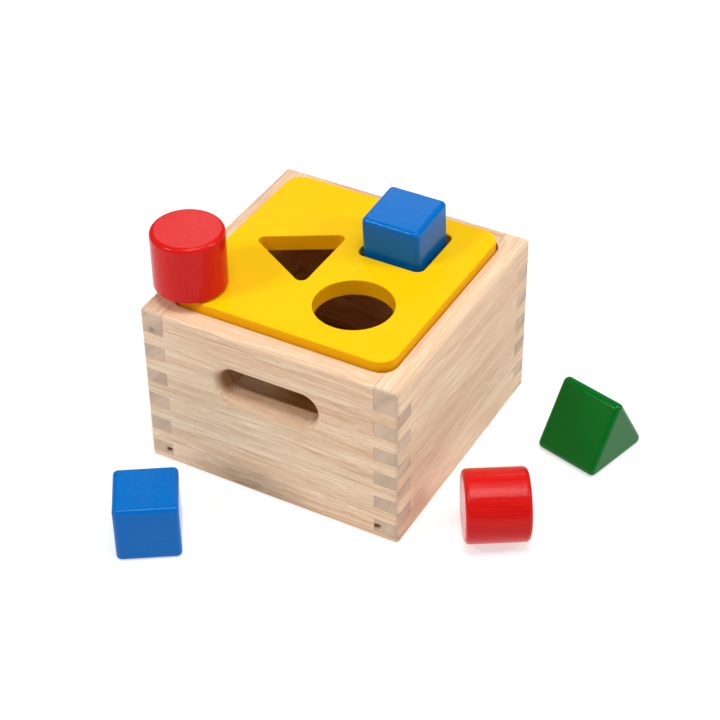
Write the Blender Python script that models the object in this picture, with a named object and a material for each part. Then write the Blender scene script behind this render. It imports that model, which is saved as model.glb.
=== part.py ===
"""Wooden shape sorter: a finger-jointed box, a lid with three holes and five loose blocks.

Lengths are in metres, +Z is up and the box's front wall faces -Y. The origin is at the middle of
the whole set's footprint, on the surface that it stands on.
"""

import math

import bmesh
import bpy
from mathutils import Matrix, Vector

# Box
BOX_CENTRE = Vector((-0.0343, 0.0357, 0.0))
BOX_SIDE = 0.138
BOX_HEIGHT = 0.091
WALL = 0.0125
OUTER_EDGE = 0.0022
FIT_GAP = 0.0003

# Finger joints: alternate rows of one pitch, between a short bottom row and a tall top row
FIRST_FINGER = 0.0040
FINGER_PITCH = 0.0074
FINGER_ROWS = 12

# Floor panel and the groove that holds it
GROOVE_BOTTOM = 0.0057
GROOVE_HEIGHT = 0.0032
GROOVE_DEPTH = 0.0035

# Hand slots in the front and back walls
SLOT_WIDTH = 0.0526
SLOT_HEIGHT = 0.0158
SLOT_CENTRE_X = -0.0009
SLOT_CENTRE_Z = 0.0618
SLOT_OUTER_EDGE = 0.0050
SLOT_INNER_EDGE = 0.0038

# Lid and the rebate that it drops into
LID_SIDE = 0.1172
LID_THICKNESS = 0.0090
LID_PROUD = 0.0054
LID_CORNER = 0.0090
LID_EDGE = 0.0008
REBATE_SIDE = 0.1186
REBATE_CORNER = 0.0080
HOLE_EDGE = 0.0006

# Holes, from the lid's centre
ROUND_HOLE_DIAMETER = 0.0388
ROUND_HOLE_CENTRE = (0.0224, -0.0254)
SQUARE_HOLE_SIDE = 0.0352
SQUARE_HOLE_CORNER = 0.0040
SQUARE_HOLE_CENTRE = (0.0209, 0.0287)
TRIANGLE_HOLE_SIDE = 0.0465
TRIANGLE_HOLE_CORNER = 0.0032
TRIANGLE_HOLE_CENTRE = (-0.0207, 0.0003)

# Blocks
CUBE_SIDE = 0.0310
CYLINDER_DIAMETER = 0.0358
CYLINDER_LENGTH = 0.0312
PRISM_SIDE = 0.0436
PRISM_LENGTH = 0.0348
PRISM_CORNER = 0.0032
BLOCK_CORNER = 0.0027
BLOCK_EDGE = 0.0024

# Where the blocks lie, from the box's centre
CYLINDER_ON_LID_XY = (-0.0533, -0.0474)
CUBE_IN_HOLE_CENTRE = (0.0206, 0.0287, 0.1019)
CUBE_IN_HOLE_LEAN = math.radians(3.4)
CUBE_ON_TABLE_CENTRE = (-0.0369, -0.1199, 0.5 * CUBE_SIDE)
CUBE_ON_TABLE_TURN = math.radians(33.3)
CYLINDER_ON_TABLE_XY = (0.1055, -0.0398)
CYLINDER_ON_TABLE_TURN = math.radians(32.0)
PRISM_ON_TABLE_XY = (0.1189, 0.0403)
PRISM_ON_TABLE_TURN = math.radians(-15.0)

ARC_STEPS = 5
CIRCLE_STEPS = 48

LID_SEAT = BOX_HEIGHT + LID_PROUD - LID_THICKNESS
LID_TOP = BOX_HEIGHT + LID_PROUD


def clear_scene():
    for obj in list(bpy.data.objects):
        bpy.data.objects.remove(obj)


def make_material(name, colour, roughness):
    mat = bpy.data.materials.new(name)
    mat.use_nodes = True
    shader = mat.node_tree.nodes["Principled BSDF"]
    shader.inputs["Base Color"].default_value = (*colour, 1.0)
    shader.inputs["Roughness"].default_value = roughness
    mat.diffuse_color = (*colour, 1.0)
    return mat


def link_object(name, bm, mat=None):
    bmesh.ops.recalc_face_normals(bm, faces=bm.faces)
    mesh = bpy.data.meshes.new(name)
    bm.to_mesh(mesh)
    bm.free()
    obj = bpy.data.objects.new(name, mesh)
    bpy.context.scene.collection.objects.link(obj)
    if mat is not None:
        mesh.materials.append(mat)
    return obj


def smooth(obj):
    mesh = obj.data
    mesh.shade_smooth()
    mesh.set_sharp_from_angle(angle=math.radians(35.0))


def polygon_centres(count, side, turn=0.0):
    """Corners of a regular polygon with the given side, counter-clockwise about the origin."""
    reach = side / (2.0 * math.sin(math.pi / count))
    angles = [turn + 2.0 * math.pi * k / count for k in range(count)]
    return [Vector((reach * math.cos(a), reach * math.sin(a))) for a in angles]


def outline(centres, radius, steps):
    """A convex outline: arcs of one radius about each centre, joined by straight runs."""
    if len(centres) == 1:
        angles = [2.0 * math.pi * k / steps for k in range(steps)]
        middle = centres[0]
        return [middle + radius * Vector((math.cos(a), math.sin(a))) for a in angles]
    points = []
    count = len(centres)
    for k, here in enumerate(centres):
        arriving = here - centres[k - 1]
        leaving = centres[(k + 1) % count] - here
        start = math.atan2(arriving.y, arriving.x) - math.pi / 2.0
        turn = (math.atan2(leaving.y, leaving.x) - math.atan2(arriving.y, arriving.x)) % (2.0 * math.pi)
        arc = max(2, round(steps * turn / (math.pi / 2.0)))
        for step in range(arc + 1):
            angle = start + turn * step / arc
            points.append(here + radius * Vector((math.cos(angle), math.sin(angle))))
    return points


def loft(centres, radius, stations, steps):
    """A closed solid through outlines at (height, growth) stations along +Z."""
    bm = bmesh.new()
    rings = []
    for height, growth in stations:
        ring = [bm.verts.new((p.x, p.y, height)) for p in outline(centres, radius + growth, steps)]
        rings.append(ring)
    for low, high in zip(rings, rings[1:]):
        for k in range(len(low)):
            n = (k + 1) % len(low)
            bm.faces.new((low[k], low[n], high[n], high[k]))
    bm.faces.new(list(reversed(rings[0])))
    bm.faces.new(rings[-1])
    return bm


def edge_stations(bottom, top, bottom_edge, top_edge, flare, steps=4):
    """Stations of a solid whose rims are rounded over, or of a cutter that rounds its hole's mouths."""
    stations = []
    for k in range(steps + 1):
        angle = 0.5 * math.pi * k / steps
        growth = flare * bottom_edge * (1.0 - math.sin(angle))
        stations.append((bottom + bottom_edge * (1.0 - math.cos(angle)), growth))
    for k in range(steps, -1, -1):
        angle = 0.5 * math.pi * k / steps
        growth = flare * top_edge * (1.0 - math.sin(angle))
        stations.append((top - top_edge * (1.0 - math.cos(angle)), growth))
    return stations


def rounded_solid(centres, radius, bottom, top, bottom_edge, top_edge, steps=ARC_STEPS):
    return loft(centres, radius, edge_stations(bottom, top, bottom_edge, top_edge, -1.0), steps)


def hole_cutter(centres, radius, depth, low_edge, high_edge, steps=ARC_STEPS):
    """A cutter through a board from 0 to depth, widening at its two mouths."""
    overrun = 0.002
    stations = edge_stations(0.0, depth, low_edge, high_edge, 1.0)
    stations = [(-overrun, low_edge)] + stations + [(depth + overrun, high_edge)]
    return loft(centres, radius, stations, steps)


def box_mesh(low, high):
    bm = bmesh.new()
    bmesh.ops.create_cube(bm, size=1.0)
    size = Vector(high) - Vector(low)
    middle = 0.5 * (Vector(high) + Vector(low))
    matrix = Matrix.Translation(middle) @ Matrix.Diagonal((*size, 1.0))
    bmesh.ops.transform(bm, matrix=matrix, verts=bm.verts)
    return bm


def cut(obj, cutter, operation="DIFFERENCE"):
    """Apply one exact boolean to obj and remove the cutter."""
    modifier = obj.modifiers.new(cutter.name, "BOOLEAN")
    modifier.operation = operation
    modifier.solver = "EXACT"
    modifier.object = cutter
    depsgraph = bpy.context.evaluated_depsgraph_get()
    result = bpy.data.meshes.new_from_object(obj.evaluated_get(depsgraph))
    obj.modifiers.clear()
    result.name = obj.name
    obj.data = result
    bpy.data.objects.remove(cutter)


def square_centres(side, corner, centre=(0.0, 0.0)):
    reach = 0.5 * side - corner
    middle = Vector(centre)
    signs = ((1, 1), (-1, 1), (-1, -1), (1, -1))
    return [middle + Vector((sx * reach, sy * reach)) for sx, sy in signs]


def triangle_centres(side, corner, centre=(0.0, 0.0), turn=math.pi):
    """Arc centres of an equilateral triangle, one corner of which points along turn."""
    inner_side = side - 2.0 * math.sqrt(3.0) * corner
    middle = Vector(centre)
    return [middle + p for p in polygon_centres(3, inner_side, turn)]


def finger_levels():
    """Heights at which the corner joints change from one wall to the other."""
    rows = [FIRST_FINGER + FINGER_PITCH * k for k in range(FINGER_ROWS - 1)]
    return [0.0] + rows + [BOX_HEIGHT]


def wall_profile(owns_bottom_row):
    """Stepped end outline of a wall, as (reach, height) pairs from the bottom up."""
    levels = finger_levels()
    full = 0.5 * BOX_SIDE + 0.001
    short = 0.5 * BOX_SIDE - WALL - FIT_GAP
    ease = 0.5 * FIT_GAP
    steps = []
    for row in range(FINGER_ROWS):
        owned = (row % 2 == 0) == owns_bottom_row
        low = levels[row]
        high = levels[row + 1]
        if row > 0:
            low += ease if owned else -ease
        if row < FINGER_ROWS - 1:
            high -= ease if owned else -ease
        reach = full if owned else short
        steps.append((reach, low))
        steps.append((reach, high))
    return steps


def finger_wall(owns_bottom_row):
    """A wall slab across +Y of its own frame, running along X, with fingers at both ends."""
    right = wall_profile(owns_bottom_row)
    loop = right + [(-reach, height) for reach, height in reversed(right)]
    outer = -0.5 * BOX_SIDE - 0.001
    inner = -0.5 * BOX_SIDE + WALL
    bm = bmesh.new()
    near = [bm.verts.new((x, outer, z)) for x, z in loop]
    far = [bm.verts.new((x, inner, z)) for x, z in loop]
    bm.faces.new(near)
    bm.faces.new(list(reversed(far)))
    for k in range(len(loop)):
        n = (k + 1) % len(loop)
        bm.faces.new((near[k], far[k], far[n], near[n]))
    return bm


def box_envelope():
    centres = square_centres(BOX_SIDE, OUTER_EDGE + 0.0001)
    return rounded_solid(centres, OUTER_EDGE + 0.0001, 0.0, BOX_HEIGHT, OUTER_EDGE, OUTER_EDGE, 4)


def groove_cutter(half_length):
    wall_face = -0.5 * BOX_SIDE + WALL
    low = (-half_length, wall_face - GROOVE_DEPTH, GROOVE_BOTTOM)
    high = (half_length, wall_face + 0.001, GROOVE_BOTTOM + GROOVE_HEIGHT)
    return box_mesh(low, high)


def rebate_cutter():
    centres = square_centres(REBATE_SIDE, REBATE_CORNER)
    stations = [(LID_SEAT - FIT_GAP, 0.0), (BOX_HEIGHT + 0.002, 0.0)]
    return loft(centres, REBATE_CORNER, stations, 6)


def slot_cutter():
    """Stadium-shaped hand slot through the wall across -Y, rounded over on both faces."""
    reach = 0.5 * (SLOT_WIDTH - SLOT_HEIGHT)
    centres = [Vector((-reach, 0.0)), Vector((reach, 0.0))]
    bm = hole_cutter(centres, 0.5 * SLOT_HEIGHT, WALL, SLOT_INNER_EDGE, SLOT_OUTER_EDGE, 6)
    stand = Matrix.Rotation(math.radians(90.0), 4, "X")
    place = Matrix.Translation((SLOT_CENTRE_X, -0.5 * BOX_SIDE + WALL, SLOT_CENTRE_Z))
    bmesh.ops.transform(bm, matrix=place @ stand, verts=bm.verts)
    return bm


def make_wall(name, quarter_turns, owns_bottom_row, has_slot, mat):
    bm = finger_wall(owns_bottom_row)
    wall = link_object(name, bm, mat)
    cut(wall, link_object("envelope", box_envelope()), "INTERSECT")
    cut(wall, link_object("rebate", rebate_cutter()))
    groove_half = 0.5 * BOX_SIDE + 0.002
    cut(wall, link_object("groove", groove_cutter(groove_half)))
    if has_slot:
        cut(wall, link_object("slot", slot_cutter()))
    wall.data.transform(Matrix.Rotation(0.5 * math.pi * quarter_turns, 4, "Z"))
    wall.location = BOX_CENTRE
    smooth(wall)
    return wall


def make_walls(mat):
    make_wall("front_wall", 0, True, True, mat)
    make_wall("right_wall", 1, False, False, mat)
    make_wall("back_wall", 2, True, True, mat)
    make_wall("left_wall", 3, False, False, mat)


def make_floor_panel(mat):
    half = 0.5 * BOX_SIDE - WALL + GROOVE_DEPTH - FIT_GAP
    ease = 0.1 * FIT_GAP
    low = (-half, -half, GROOVE_BOTTOM + ease)
    high = (half, half, GROOVE_BOTTOM + GROOVE_HEIGHT - FIT_GAP)
    panel = link_object("floor_panel", box_mesh(low, high), mat)
    panel.location = BOX_CENTRE
    return panel


def cut_lid_hole(lid, name, centres, radius, steps):
    cutter = hole_cutter(centres, radius, LID_THICKNESS, HOLE_EDGE, HOLE_EDGE, steps)
    cut(lid, link_object(name, cutter))


def make_lid(mat):
    centres = square_centres(LID_SIDE, LID_CORNER)
    board = rounded_solid(centres, LID_CORNER, 0.0, LID_THICKNESS, 0.5 * LID_EDGE, LID_EDGE)
    lid = link_object("sorting_lid", board, mat)
    circle = [Vector(ROUND_HOLE_CENTRE)]
    cut_lid_hole(lid, "round_hole", circle, 0.5 * ROUND_HOLE_DIAMETER, CIRCLE_STEPS)
    square = square_centres(SQUARE_HOLE_SIDE, SQUARE_HOLE_CORNER, SQUARE_HOLE_CENTRE)
    cut_lid_hole(lid, "square_hole", square, SQUARE_HOLE_CORNER, ARC_STEPS)
    triangle = triangle_centres(TRIANGLE_HOLE_SIDE, TRIANGLE_HOLE_CORNER, TRIANGLE_HOLE_CENTRE)
    cut_lid_hole(lid, "triangle_hole", triangle, TRIANGLE_HOLE_CORNER, ARC_STEPS)
    lid.location = BOX_CENTRE + Vector((0.0, 0.0, LID_SEAT))
    smooth(lid)
    return lid


def place_block(block, xy, height, turn=0.0):
    block.location = BOX_CENTRE + Vector((*xy, height))
    block.rotation_euler = (0.0, 0.0, turn)
    smooth(block)
    return block


def make_cube(name, centre, lean, turn, mat):
    """A cube about its centre, leaning towards -Y or turned about +Z."""
    half = 0.5 * CUBE_SIDE
    centres = square_centres(CUBE_SIDE, BLOCK_CORNER)
    bm = rounded_solid(centres, BLOCK_CORNER, -half, half, BLOCK_EDGE, BLOCK_EDGE)
    bmesh.ops.transform(bm, matrix=Matrix.Rotation(lean, 4, "X"), verts=bm.verts)
    return place_block(link_object(name, bm, mat), centre[:2], centre[2], turn)


def cylinder_mesh():
    centre = [Vector((0.0, 0.0))]
    radius = 0.5 * CYLINDER_DIAMETER
    return rounded_solid(centre, radius, 0.0, CYLINDER_LENGTH, BLOCK_EDGE, BLOCK_EDGE, CIRCLE_STEPS)


def make_standing_cylinder(name, xy, height, mat):
    return place_block(link_object(name, cylinder_mesh(), mat), xy, height)


def make_lying_cylinder(name, xy, turn, mat):
    bm = cylinder_mesh()
    tip = Matrix.Rotation(math.radians(90.0), 4, "Y")
    radius = 0.5 * CYLINDER_DIAMETER
    shift = Matrix.Translation((-0.5 * CYLINDER_LENGTH, 0.0, radius))
    bmesh.ops.transform(bm, matrix=shift @ tip, verts=bm.verts)
    return place_block(link_object(name, bm, mat), xy, 0.0, turn)


def make_prism(name, xy, turn, mat):
    """A triangular prism that lies on one long face, its length along X."""
    centres = triangle_centres(PRISM_SIDE, PRISM_CORNER, turn=0.0)
    bm = rounded_solid(centres, PRISM_CORNER, 0.0, PRISM_LENGTH, BLOCK_EDGE, BLOCK_EDGE)
    tip = Matrix.Rotation(math.radians(-90.0), 4, "Y")
    inradius = PRISM_SIDE / (2.0 * math.sqrt(3.0))
    shift = Matrix.Translation((0.5 * PRISM_LENGTH, 0.0, inradius))
    bmesh.ops.transform(bm, matrix=shift @ tip, verts=bm.verts)
    return place_block(link_object(name, bm, mat), xy, 0.0, turn)


def main():
    clear_scene()
    wood = make_material("pale_wood", (0.80, 0.62, 0.42), 0.55)
    panel = make_material("panel_wood", (0.72, 0.55, 0.37), 0.60)
    yellow = make_material("yellow_paint", (0.96, 0.66, 0.01), 0.40)
    red = make_material("red_paint", (0.72, 0.03, 0.03), 0.25)
    blue = make_material("blue_paint", (0.02, 0.20, 0.62), 0.25)
    green = make_material("green_paint", (0.01, 0.24, 0.05), 0.25)
    make_walls(wood)
    make_floor_panel(panel)
    make_lid(yellow)
    make_standing_cylinder("cylinder_on_lid", CYLINDER_ON_LID_XY, LID_TOP + FIT_GAP, red)
    make_cube("cube_in_hole", CUBE_IN_HOLE_CENTRE, CUBE_IN_HOLE_LEAN, 0.0, blue)
    make_cube("cube_on_table", CUBE_ON_TABLE_CENTRE, 0.0, CUBE_ON_TABLE_TURN, blue)
    make_lying_cylinder("cylinder_on_table", CYLINDER_ON_TABLE_XY, CYLINDER_ON_TABLE_TURN, red)
    make_prism("prism_on_table", PRISM_ON_TABLE_XY, PRISM_ON_TABLE_TURN, green)


main()
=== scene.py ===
"""Wooden shape sorter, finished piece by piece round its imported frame.

Lengths are in metres, +Z is up and the box's front wall faces -Y. Every piece stands for one node of
the frame and rides on that node's body. The grain runs along its own X axis, or along Z on a cylinder
and on the prism. All four walls are built as the front one and then turned into place.
"""

import math
from typing import NamedTuple

import bmesh
import bpy
from bpy.props import FloatProperty, FloatVectorProperty, IntProperty, PointerProperty
from mathutils import Matrix, Quaternion, Vector


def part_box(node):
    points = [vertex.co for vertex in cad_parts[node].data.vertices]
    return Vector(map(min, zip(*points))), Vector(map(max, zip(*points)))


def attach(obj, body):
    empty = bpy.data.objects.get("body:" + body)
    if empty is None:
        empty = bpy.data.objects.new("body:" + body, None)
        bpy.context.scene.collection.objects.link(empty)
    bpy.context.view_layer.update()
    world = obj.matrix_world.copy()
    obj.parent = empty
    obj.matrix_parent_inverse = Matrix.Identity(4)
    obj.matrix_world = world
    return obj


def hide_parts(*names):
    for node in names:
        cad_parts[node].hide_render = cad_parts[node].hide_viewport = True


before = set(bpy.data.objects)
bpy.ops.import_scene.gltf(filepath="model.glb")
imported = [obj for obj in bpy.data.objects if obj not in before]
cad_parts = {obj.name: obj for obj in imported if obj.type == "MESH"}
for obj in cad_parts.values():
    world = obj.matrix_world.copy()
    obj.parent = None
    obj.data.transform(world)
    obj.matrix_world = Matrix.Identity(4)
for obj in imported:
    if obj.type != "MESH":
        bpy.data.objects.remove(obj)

bl_info = {
    "name": "Shape sorter",
    "version": (1, 0, 0),
    "blender": (4, 5, 0),
    "location": "3D View > Sidebar > Shape sorter",
    "description": "Builds a finger-jointed box, its lid with three holes and five painted blocks",
    "category": "Object",
}

QUARTER_TURN = 0.5 * math.pi
SHARP_ANGLE = math.radians(35.0)

# How far a cutter runs past the surface that it cuts
WORK_CLEARANCE = 0.001
# What a corner's radius has over its edge's, so that the corner never shrinks to a point
CORNER_SPARE = 0.0001
# Room between the lid and the seat that it rests on
SEAT_GAP = 0.0002
# How far the floor lies below the set
FLOOR_DROP = 0.0001

# Marks in the wood and the paint: how fine each kind is along the grain and in the two ways across it
DRIFT_MARKS = (9.0, 26.0, 26.0)
CLOUD_MARKS = (5.0, 34.0, 34.0)
VEIN_BREAKS = (11.0, 130.0, 130.0)
FIBRE_MARKS = (22.0, 1200.0, 1200.0)
PORE_MARKS = (110.0, 2600.0, 2600.0)
KNOT_FRAY = (90.0, 420.0, 420.0)
PAINT_STREAKS = (70.0, 1250.0, 1250.0)
PAINT_WAVES = (900.0, 900.0, 900.0)
FLOOR_MOTTLE = (40.0, 40.0, 40.0)

# How deep the fibres and the paint's waves are, as relief
WOOD_RELIEF = 0.00006
PAINT_RELIEF = 0.00007

# The colour of the wood round a knot, also painted as shade on the ends of a hand slot, and how much of it
# those ends take
KNOT_AND_SHADE_BROWN = (0.26, 0.175, 0.105, 1.0)
SLOT_END_SHADE = 0.42


# Sizes that the frame gives


def node_size(node):
    low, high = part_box(node)
    return high - low


def node_middle(node):
    low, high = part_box(node)
    return 0.5 * (low + high)


def box_centre():
    """The middle of the box's footprint, on the surface that it stands on."""
    return Vector((node_middle("front_wall").x, node_middle("right_wall").y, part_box("front_wall")[0].z))


FRONT_WALL = node_size("front_wall")
LID_BOARD = node_size("sorting_lid")
STANDING_CYLINDER = node_size("cylinder_on_lid")


# Settings


def length(name, value, text, high=1.0):
    return FloatProperty(
        name=name, description=text, default=value, min=0.0, max=high, precision=4, unit="LENGTH"
    )


def turn(name, degrees, text):
    return FloatProperty(name=name, description=text, default=math.radians(degrees), subtype="ANGLE")


def spot(name, value, text):
    return FloatVectorProperty(
        name=name, description=text, default=value, size=2, precision=4, unit="LENGTH"
    )


def place(name, value, text):
    return FloatVectorProperty(
        name=name, description=text, default=value, size=3, precision=4, subtype="TRANSLATION"
    )


def colour(name, value, text):
    return FloatVectorProperty(
        name=name, description=text, default=value, size=3, min=0.0, max=1.0, subtype="COLOR"
    )


def share(name, value, text, high=1.0):
    return FloatProperty(name=name, description=text, default=value, min=0.0, max=high)


def power(name, value, text):
    return FloatProperty(name=name, description=text, default=value, min=0.0, subtype="POWER")


class SorterBoxSettings(bpy.types.PropertyGroup):
    side: length("Side", FRONT_WALL.x, "Outside length of each wall")
    height: length("Height", FRONT_WALL.z, "Height of the walls")
    wall: length("Wall", FRONT_WALL.y, "Thickness of the walls")
    outer_edge: length("Outer edge", 0.0022, "Rounding of the box's outer edges")
    joint_gap: length("Joint gap", 0.00014, "Width of the line between two fingers")
    first_finger: length("First finger", 0.0040, "Height of the bottom finger")
    finger_pitch: length("Finger pitch", 0.0074, "Height of each finger above the bottom one")
    finger_rows: IntProperty(name="Finger rows", description="Fingers in a corner", default=12, min=2)
    groove_bottom: length("Groove bottom", 0.0057, "Height of the bottom panel's groove")
    groove_height: length("Groove height", 0.0032, "Opening of the bottom panel's groove")
    groove_depth: length("Groove depth", 0.0035, "Depth of the bottom panel's groove")
    slot_width: length("Slot width", 0.0526, "Width of a hand slot")
    slot_height: length("Slot height", 0.0158, "Height of a hand slot")
    slot_outer_edge: length("Slot outer edge", 0.0050, "Rounding of a hand slot's outer mouth")
    slot_inner_edge: length("Slot inner edge", 0.0038, "Rounding of a hand slot's inner mouth")
    slot_centre: spot("Slot centre", (-0.0009, 0.0618), "A hand slot's middle, across and up its wall")
    rebate_side: length("Rebate side", 0.1186, "Side of the recess that holds the lid")
    rebate_corner: length("Rebate corner", 0.0080, "Corner rounding of that recess")
    pale_wood: colour("Pale wood", (0.895, 0.705, 0.493), "The bare wood's main colour")
    warm_wood: colour("Warm wood", (0.87, 0.630, 0.435), "The bare wood's pinker bands")
    vein: colour("Vein", (0.50, 0.245, 0.12), "Thin lines and pores in the bare wood")
    end_grain: colour("End grain", (0.66, 0.485, 0.355), "Cut ends of the fingers")
    # Painted shade: this colour darkens the wood on the box's inner side, where little light reaches
    inner_shade_colour: colour("Inner shade", (0.84, 0.60, 0.38), "What the wood's inner side is darkened by")
    # Painted shade: the panel's dark brown stands in for the shade inside the box
    panel_wood: colour("Shaded panel wood", (0.40, 0.17, 0.040), "The bottom panel's wood")
    # Painted light: a paler colour by the left wall stands in for light that falls in through the lid's holes
    panel_lit_wood: colour("Lit panel wood", (0.88, 0.64, 0.42), "The bottom panel's wood by the left wall")
    panel_corner: length("Panel corner", 0.0006, "Corner rounding of the bottom panel")
    panel_edge: length("Panel edge", 0.0002, "Rounding of the bottom panel's edges")


class SorterLidSettings(bpy.types.PropertyGroup):
    side: length("Side", LID_BOARD.x, "Side of the lid")
    thickness: length("Thickness", LID_BOARD.z, "Thickness of the lid")
    corner: length("Corner", 0.0090, "Rounding of the lid's corners, seen from above")
    top_edge: length("Top edge", 0.0008, "Rounding of the lid's top edge")
    bottom_edge: length("Bottom edge", 0.0004, "Rounding of the lid's bottom edge")
    hole_edge: length("Hole edge", 0.0006, "Rounding of the holes' mouths")
    round_hole: length("Round hole", 0.0388, "Diameter of the round hole")
    round_hole_centre: spot("Round hole centre", (0.0224, -0.0254), "From the lid's middle")
    square_hole: length("Square hole", 0.0352, "Side of the square hole")
    square_hole_corner: length("Square hole corner", 0.0040, "Corner rounding of the square hole")
    square_hole_centre: spot("Square hole centre", (0.0209, 0.0287), "From the lid's middle")
    triangle_hole: length("Triangle hole", 0.0465, "Side of the triangular hole")
    triangle_hole_corner: length("Triangle hole corner", 0.0032, "Corner rounding of that hole")
    triangle_hole_centre: spot("Triangle hole centre", (-0.0207, 0.0003), "From the lid's middle")
    yellow: colour("Yellow", (0.91, 0.550, 0.001), "The lid's paint")
    deep_yellow: colour("Deep yellow", (0.89, 0.500, 0.001), "The paint where it lies thin on the grain")
    # Painted shade: a darker, more orange yellow on the lid's upright faces and in its holes
    shaded_upright_yellow: colour("Shaded upright yellow", (0.95, 0.460, 0.001), "The paint on the lid's edges and in its holes")


class SorterBlockSettings(bpy.types.PropertyGroup):
    cube_side: length("Cube side", 0.0310, "Side of the cubes")
    cylinder_diameter: length("Cylinder diameter", STANDING_CYLINDER.x, "Diameter of the cylinders")
    cylinder_length: length("Cylinder length", STANDING_CYLINDER.z, "Length of the cylinders")
    prism_side: length("Prism side", 0.0436, "Side of the prism's triangle")
    prism_length: length("Prism length", 0.0348, "Length of the prism")
    prism_corner: length("Prism corner", 0.0032, "Rounding of the prism's three long edges")
    corner: length("Corner", 0.0027, "Rounding of the cubes' upright edges")
    edge: length("Edge", 0.0024, "Rounding of the blocks' other edges")
    cube_in_hole_lean: turn("Cube in hole", 3.4, "How far the cube in the hole leans to the front")
    cube_on_table_turn: turn("Loose cube", 33.3, "How far the loose cube is turned")
    cylinder_on_table_turn: turn("Loose cylinder", 32.0, "How far the loose cylinder is turned")
    prism_on_table_turn: turn("Loose prism", -15.0, "How far the loose prism is turned")
    red: colour("Red", (0.68, 0.012, 0.010), "The cylinders' paint")
    deep_red: colour("Deep red", (0.48, 0.004, 0.003), "The red where it lies thin on the grain")
    blue: colour("Blue", (0.001, 0.150, 0.520), "The cubes' paint")
    deep_blue: colour("Deep blue", (0.001, 0.120, 0.430), "The blue where it lies thin on the grain")
    green: colour("Green", (0.001, 0.140, 0.014), "The prism's paint")
    deep_green: colour("Deep green", (0.001, 0.112, 0.009), "The green where it lies thin on the grain")


class SorterStageSettings(bpy.types.PropertyGroup):
    floor_colour: colour("Floor", (0.50, 0.50, 0.50), "The floor's colour")
    floor_glow: share("Floor glow", 0.62, "Light that comes up through the floor")
    floor_size: length("Floor size", 8.0, "Side of the floor", high=20.0)
    sky: share("Sky", 0.10, "Strength of the even light all round", high=5.0)
    key_power: power("Key light", 6.5, "Power of the small bright light overhead")
    key_place: place("Key light place", (0.115, -0.21, 1.25), "Where the key light hangs")
    key_size: spot("Key light size", (0.55, 0.55), "Sides of the key light")
    top_power: power("Top light", 6.0, "Power of the large soft light overhead")
    top_place: place("Top light place", (0.32, 0.20, 1.25), "Where the top light hangs")
    top_size: spot("Top light size", (0.90, 0.90), "Sides of the top light")
    back_power: power("Back light", 1.1, "Power of the panel behind, that the tops reflect")
    back_place: place("Back light place", (-0.60, 1.00, 0.86), "Where the back panel hangs")
    back_size: spot("Back light size", (0.50, 0.34), "Sides of the back panel")
    left_power: power("Left light", 6.3, "Power of the soft light in front on the left")
    left_place: place("Left light place", (-0.61, -0.78, 0.95), "Where the left light hangs")
    left_size: spot("Left light size", (0.30, 0.30), "Sides of the left light")
    right_power: power("Right light", 4.6, "Power of the soft light on the right")
    right_place: place("Right light place", (1.02, 0.42, 0.78), "Where the right light hangs")
    right_size: spot("Right light size", (0.30, 0.30), "Sides of the right light")
    camera_place: place("Camera place", (0.35230, -0.63289, 0.64666), "Where the camera stands")
    camera_target: place("Camera target", (-0.02109, 0.03192, 0.04500), "What the camera looks at")
    camera_roll: turn("Camera roll", -0.67, "How far the camera leans")
    camera_lens: FloatProperty(name="Lens", description="Focal length in mm", default=99.0, min=1.0)


# Shader nodes


def put(tree, kind, feeds=None, **settings):
    """Add a shader node. Each feed is an input's value or the output that it is linked to."""
    node = tree.nodes.new("ShaderNode" + kind)
    for name, value in settings.items():
        setattr(node, name, value)
    for key, value in (feeds or {}).items():
        socket = node.inputs[key]
        if isinstance(value, bpy.types.NodeSocket):
            tree.links.new(value, socket)
        else:
            socket.default_value = value
    return node


def sums(tree, operation, *values):
    """One Math node's result."""
    return put(tree, "Math", dict(enumerate(values)), operation=operation).outputs[0]


def vectors(tree, operation, *values):
    """One Vector Math node's result."""
    return put(tree, "VectorMath", dict(enumerate(values)), operation=operation).outputs[0]


def graded(tree, value, from_low, from_high, to_low=0.0, to_high=1.0):
    """A smooth change from one value to another while the input crosses a range."""
    feeds = {0: value, 1: from_low, 2: from_high, 3: to_low, 4: to_high}
    return put(tree, "MapRange", feeds, interpolation_type="SMOOTHSTEP").outputs[0]


def mixed(tree, factor, first, second, blend="MIX"):
    """Two colours blended by a factor."""
    feeds = {0: factor, 6: first, 7: second}
    return put(tree, "Mix", feeds, data_type="RGBA", blend_type=blend).outputs[2]


def speckle(tree, position, stretch, seed, detail=2.0, output=0):
    """Noise over a stretched position, where a larger stretch gives finer marks."""
    scaled = vectors(tree, "MULTIPLY", position, stretch)
    shifted = vectors(tree, "ADD", scaled, put(tree, "CombineXYZ", {0: seed, 1: seed, 2: seed}).outputs[0])
    feeds = {"Vector": shifted, "Scale": 1.0, "Detail": detail, "Roughness": 0.55}
    return put(tree, "TexNoise", feeds).outputs[output]


def new_group(name, inputs, outputs):
    """An empty node group with its sockets. Returns the tree, its inputs and its output node."""
    tree = bpy.data.node_groups.new(name, "ShaderNodeTree")
    for socket_name, kind, value in inputs:
        socket = tree.interface.new_socket(socket_name, in_out="INPUT", socket_type="NodeSocket" + kind)
        if value is not None:
            socket.default_value = value
    for socket_name, kind in outputs:
        tree.interface.new_socket(socket_name, in_out="OUTPUT", socket_type="NodeSocket" + kind)
    given = tree.nodes.new("NodeGroupInput").outputs
    result = tree.nodes.new("NodeGroupOutput")
    return tree, given, result


def fill_group(tree, result, **values):
    for name, value in values.items():
        tree.links.new(value, result.inputs[name])


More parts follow.
